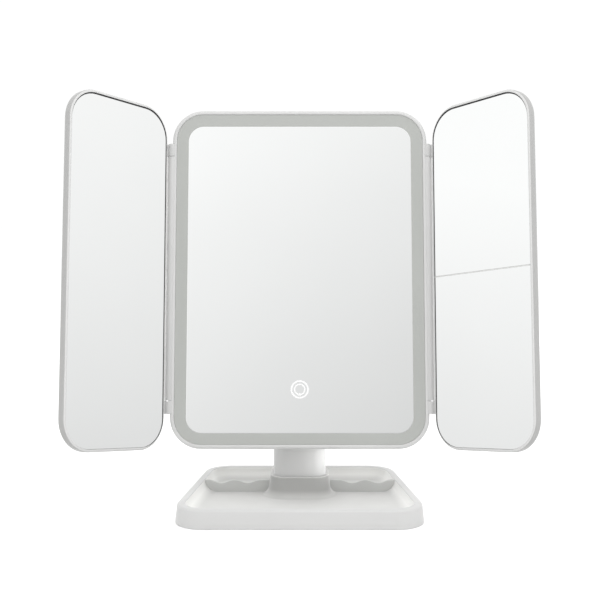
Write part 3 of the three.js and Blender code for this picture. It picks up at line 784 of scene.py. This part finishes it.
def touch_mark():
    """The printed touch switch: two rings and a dot at the bottom of the inner one."""
    ring_mark("touch_mark_outer", 6.4, 5.25, GLASS_FRONT)
    ring_mark("touch_mark_inner", 4.0, 3.15, GLASS_FRONT)
    height = TOUCH_HEIGHT - 3.6
    start, end = (0, GLASS_FRONT - 0.08, height), (0, GLASS_FRONT, height)
    dot = rod("touch_mark_dot", 0.85, start, end, MATERIALS["mark_white"], head_matrix(), 0.02)
    wear(dot, "head", "white_plastic")


# ---------------------------------------------------------------- wings


def wing_outline(side):
    """The wing's outer outline at an inset."""
    centre = side * (WING_INNER + WING_OUTER) / 2
    half = (WING_OUTER - WING_INNER) / 2 - WING_SHRINK
    height = WING_HALF_HEIGHT - WING_SHRINK
    return lambda inset: rectangle(half - inset, height - inset, WING_CORNER - inset, (centre, 0))


def wing_opening(side, shift=0.0):
    """The lip's inner edge, narrower at the hinge; shift moves it away from the hinge and down."""
    widening = LIP - HINGE_LIP
    centre = side * ((WING_INNER + WING_OUTER - widening) / 2 + shift)
    half = (WING_OUTER - WING_INNER + widening) / 2 - WING_SHRINK - LIP
    height = WING_HALF_HEIGHT - WING_SHRINK - LIP
    corner = WING_CORNER - LIP
    return lambda inset: rectangle(half - inset, height - inset, corner - inset, (centre, -shift))


def wing_shell(side, name):
    """A wing's shallow tray with straight sides and a softly rounded back, and the lip on its front."""
    matrix = wing_matrix(side)
    back_edge = 1.2
    edge = 1.5
    lip_back = 3.9
    corner = (edge, WING_FRONT + edge)
    profile = [(LIP + 0.4, 5.8), (LIP - 0.1, lip_back), corner]
    profile += arc(corner, edge, 225, 180, 4)
    rows_to_back = len(profile)
    profile += arc((back_edge, WING_BACK - back_edge), back_edge, 180, 90, 6)
    outer, opening = wing_outline(side), wing_opening(side)
    # The front edge and the sides are a darker copy of the white plastic, painted shade; the back
    # rounding and the back are the white plastic.
    shell = sweep(f"{name}_wing_shell", outer, profile, facing_front, MATERIALS["painted_shade_wing_plastic"], matrix)
    shell.data.materials.append(MATERIALS["white_plastic"])
    loop_size = len(outer(0.0))
    for face in shell.data.polygons:
        face.material_index = int(face.index >= rows_to_back * loop_size)
    wear(shell, f"{name}_wing", "white_plastic", f"{name}_wing_frame")
    loops = [(opening(0), lip_back), (opening(0), WING_FRONT + 0.1), (opening(-0.1), WING_FRONT)]
    loops += [(outer(inset), depth) for inset, depth in arc(corner, edge, 270, 225, 4)]
    loops += [(outer(edge), lip_back)]
    lip = ring_of(f"{name}_wing_lip", loops, MATERIALS["lip_plastic"], matrix)
    wear(lip, f"{name}_wing", "white_plastic")


def wing_hinge(side, name):
    """The leaf behind the barrel, and the two end knuckles with their arms."""
    matrix = wing_matrix(side)
    # The knuckles and arms are in a darker copy of the white plastic: painted shade.
    plastic = MATERIALS["painted_shade_hinge_plastic"]
    reach = BARREL_HALF + KNUCKLE_GAP + KNUCKLE
    left, right = sorted((side * 0.3, side * 2.3))
    low, high = (left, BARREL_RADIUS + 0.3, -reach), (right, WING_BACK - 0.8, reach)
    # The leaf is a much lighter copy of the white plastic: painted light against its shadow.
    leaf = block(f"{name}_hinge_leaf", low, high, MATERIALS["painted_light_leaf_plastic"], matrix, 0.3)
    wear(leaf, f"{name}_wing", "white_plastic")
    left, right = sorted((side * 0.2, side * 2.4))
    for end, place in ((-1, "lower"), (1, "upper")):
        near = end * (BARREL_HALF + KNUCKLE_GAP)
        far = end * reach
        start, stop = (0, 0, near), (0, 0, far)
        knuckle = rod(f"{name}_{place}_knuckle", BARREL_RADIUS, start, stop, plastic, matrix, 0.35)
        wear(knuckle, f"{name}_wing", "white_plastic")
        bottom, top = sorted((near, far))
        low, high = (left, 2.1, bottom + 0.1), (right, 4.0, top - 0.1)
        arm = block(f"{name}_{place}_knuckle_arm", low, high, plastic, matrix, 0.3)
        wear(arm, f"{name}_wing", "white_plastic")


def clipped(points, low, high):
    """The part of a convex outline between two heights, with its cut edges straight."""
    result = []
    for (x, y), (after_x, after_y) in zip(points, points[1:] + points[:1]):
        if low <= y <= high:
            result.append((x, y))
        crossings = []
        for limit in (low, high):
            if (y - limit) * (after_y - limit) < 0:
                share = (limit - y) / (after_y - y)
                crossings.append((share, (x + (after_x - x) * share, limit)))
        result += [point for _, point in sorted(crossings)]
    return result


def wing_mirror(side, body, name, low, high, node):
    """One mirror sheet of a wing between two heights, with a ground edge."""
    matrix = wing_matrix(side)
    outline = wing_opening(side, SEAL_SHIFT_FOR_PAINTED_SHADE)
    bevel = 0.25
    back = 5.3
    loops = []
    for inset, depth in ((0.0, back), (0.0, GLASS_DEPTH + bevel), (bevel, GLASS_DEPTH)):
        loop = clipped(outline(SEAL + inset), low + inset, high - inset)
        loops.append([facing_front(x, y, depth) for x, y in loop])
    size = min(len(loop) for loop in loops)
    points = [point for loop in loops for point in loop[:size]]
    faces = quads(len(loops), size)
    faces.append(tuple(range(size)))
    faces.append(tuple(range(len(points) - size, len(points))))
    silver = MATERIALS["mirror_glass"]
    glass = make_object(f"{name}_mirror_sheet", points, faces, silver, matrix, sharp=15)
    outwards(glass)
    wear(glass, body, "mirror_glass", node)


def painted_shade_seal(side, name):
    """The black seal between the lip and the mirror; where it shows wider, on the hinge side and along
    the top, it is painted shade.
    """
    outer = wing_opening(side)(-0.04)
    inner = wing_opening(side, SEAL_SHIFT_FOR_PAINTED_SHADE)(SEAL + 0.1)
    front, back = 3.1, 5.2
    loops = [(outer, back), (outer, front), (inner, GLASS_DEPTH - 0.04), (inner, back)]
    seal = ring_of(f"{name}_black_seal_painted_shade", loops, MATERIALS["black_gasket"], wing_matrix(side))
    wear(seal, f"{name}_wing", "black_gasket", f"{name}_mirror_gasket")


def wings():
    """Both wings: one mirror on the left, two with a thin rib between them on the right."""
    far = 200.0
    for side, name in SIDES:
        wing_shell(side, name)
        wing_hinge(side, name)
        painted_shade_seal(side, name)
    wing_mirror(-1, "left_wing", "left", -far, far, "left_mirror")
    reveal = 0.35
    wing_mirror(1, "right_wing", "right_upper", WING_SPLIT + reveal, far, "right_upper_mirror")
    wing_mirror(1, "right_wing", "right_lower", -far, WING_SPLIT - reveal, "right_lower_mirror")
    low = (WING_INNER + LIP, 3.1, WING_SPLIT - reveal - 0.05)
    high = (WING_OUTER - LIP - 0.6, 6.0, WING_SPLIT + reveal + 0.05)
    rib = block("right_mirror_rib", low, high, MATERIALS["tray_plastic"], wing_matrix(1), 0.1)
    wear(rib, "right_wing", "tray_plastic")


# ---------------------------------------------------------------- studio


CAMERA_PLACE = (0.0002, -0.7485, 0.2126)
CAMERA_TURN = (math.radians(85), 0, 0)
CAMERA_LENS = 63.7
CAMERA_SENSOR = 36


def camera():
    """Looks at the mirror from the front, level with its upper part and tipped down by 5 degrees."""
    data = bpy.data.cameras.new("camera")
    data.lens = CAMERA_LENS
    data.sensor_width = CAMERA_SENSOR
    item = bpy.data.objects.new("camera", data)
    item.location = CAMERA_PLACE
    item.rotation_euler = CAMERA_TURN
    bpy.context.scene.collection.objects.link(item)
    bpy.context.scene.camera = item


def area_light(name, place, target, size, power):
    """A soft rectangular lamp that points at a target and isn't seen in reflections."""
    data = bpy.data.lights.new(name, "AREA")
    data.shape = "RECTANGLE"
    data.size, data.size_y = size
    data.energy = power
    item = bpy.data.objects.new(name, data)
    item.location = place
    item.rotation_euler = (Vector(target) - Vector(place)).to_track_quat("-Z", "Y").to_euler()
    item.visible_glossy = False
    bpy.context.scene.collection.objects.link(item)
    return item


def world():
    """A pale studio: white behind the object, and in front brighter towards the top and the left.

    The brightness depends only on direction, and it is what the mirrors show. In front it is
    0.66 + 0.75 z - 0.5 x (1 - 0.93 x^2) + 0.2 x^2, held between the darkest and white.
    """
    white = 1.05
    darkest = 0.45
    studio = bpy.data.worlds.new("studio")
    bpy.context.scene.world = studio
    studio.use_nodes = True
    tree = studio.node_tree

    def math_node(operation, first, second):
        node = tree.nodes.new("ShaderNodeMath")
        node.operation = operation
        for socket, value in zip(node.inputs, (first, second)):
            if isinstance(value, (int, float)):
                socket.default_value = value
            else:
                tree.links.new(value, socket)
        return node.outputs["Value"]

    coordinates = tree.nodes.new("ShaderNodeTexCoord")
    split = tree.nodes.new("ShaderNodeSeparateXYZ")
    tree.links.new(coordinates.outputs["Generated"], split.inputs["Vector"])
    x, y, z = (split.outputs[axis] for axis in "XYZ")
    x_squared = math_node("MULTIPLY", x, x)
    eases_off = math_node("SUBTRACT", 1.0, math_node("MULTIPLY", x_squared, 0.93))
    falls_right = math_node("MULTIPLY", math_node("MULTIPLY", x, -0.5), eases_off)
    rises = math_node("ADD", math_node("MULTIPLY", z, 0.75), 0.66)
    front = math_node("ADD", math_node("ADD", rises, falls_right), math_node("MULTIPLY", x_squared, 0.2))
    front = math_node("MINIMUM", math_node("MAXIMUM", front, darkest), white)
    behind = tree.nodes.new("ShaderNodeMapRange")
    behind.interpolation_type = "SMOOTHSTEP"
    behind.inputs["From Min"].default_value = 0.2
    behind.inputs["From Max"].default_value = 0.7
    tree.links.new(y, behind.inputs["Value"])
    blend = tree.nodes.new("ShaderNodeMix")
    blend.inputs["B"].default_value = white
    tree.links.new(behind.outputs["Result"], blend.inputs["Factor"])
    tree.links.new(front, blend.inputs["A"])
    tree.links.new(blend.outputs["Result"], tree.nodes["Background"].inputs["Color"])


def floor():
    """A plain pale floor, just below the object's foot."""
    half = 12000.0
    height = -0.02
    surface = Surface("floor", (0.93, 0.93, 0.93), 0.85)
    surface.shader.inputs["Emission Color"].default_value = (1, 1, 1, 1)
    surface.shader.inputs["Emission Strength"].default_value = 0.10
    surface.tint(surface.noise(3, 2), 0.995, 1.005)
    points = [(x * half, y * half, height) for x, y in ((-1, -1), (1, -1), (1, 1), (-1, 1))]
    plane = make_object("floor", points, [(0, 1, 2, 3)], surface.material)
    plane.visible_glossy = False
    plane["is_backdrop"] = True


def backdrop():
    """A plain white dome that only the camera sees, so that every side is shown against white."""
    radius = 11.0
    surface = Surface("backdrop", (0, 0, 0), 1.0)
    surface.shader.inputs["Emission Color"].default_value = (1, 1, 1, 1)
    surface.shader.inputs["Emission Strength"].default_value = 1.02
    surface.vary_roughness(surface.noise(3, 2), 0.98, 1.0)
    mesh = bpy.data.meshes.new("backdrop")
    work = bmesh.new()
    bmesh.ops.create_uvsphere(work, u_segments=48, v_segments=24, radius=radius)
    work.to_mesh(mesh)
    work.free()
    mesh.materials.append(surface.material)
    dome = bpy.data.objects.new("backdrop", mesh)
    bpy.context.scene.collection.objects.link(dome)
    for kind in ("diffuse", "glossy", "transmission", "volume_scatter", "shadow"):
        setattr(dome, f"visible_{kind}", False)
    dome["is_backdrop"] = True


def studio():
    """The camera, the surroundings and the lamps; the low lamp lights the post's right side."""
    camera()
    world()
    floor()
    backdrop()
    area_light("key", (0.8, -0.9, 1.0), (0, 0, 0.1), (0.9, 0.9), 4)
    area_light("top", (0.0, -0.45, 1.45), (0, 0, 0.1), (1.5, 1.5), 8)
    area_light("back", (0.0, 1.1, 0.75), (0, 0, 0.05), (1.2, 0.8), 4.5)
    low_place = (0.12, -0.10, 0.029)
    low = area_light("low_right", low_place, (0.015, 0.0186, 0.032), (0.02, 0.008), 0.0017)
    low.data.spread = math.radians(16)
    low.visible_camera = False
    bpy.context.scene.view_settings.view_transform = "Standard"


def keep_mirrors_clear():
    """The mirrors show only the studio: no piece appears in a reflection."""
    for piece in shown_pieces():
        piece.visible_glossy = False


def main():
    """Builds every visible piece, then the studio round them."""
    finish_cad_nodes()
    base_shell()
    pedestal()
    for side, name in SIDES:
        divider(side, name)
    post()
    front_rim()
    glass_front()
    touch_mark()
    rear_side()
    wings()
    studio()
    keep_mirrors_clear()


main()
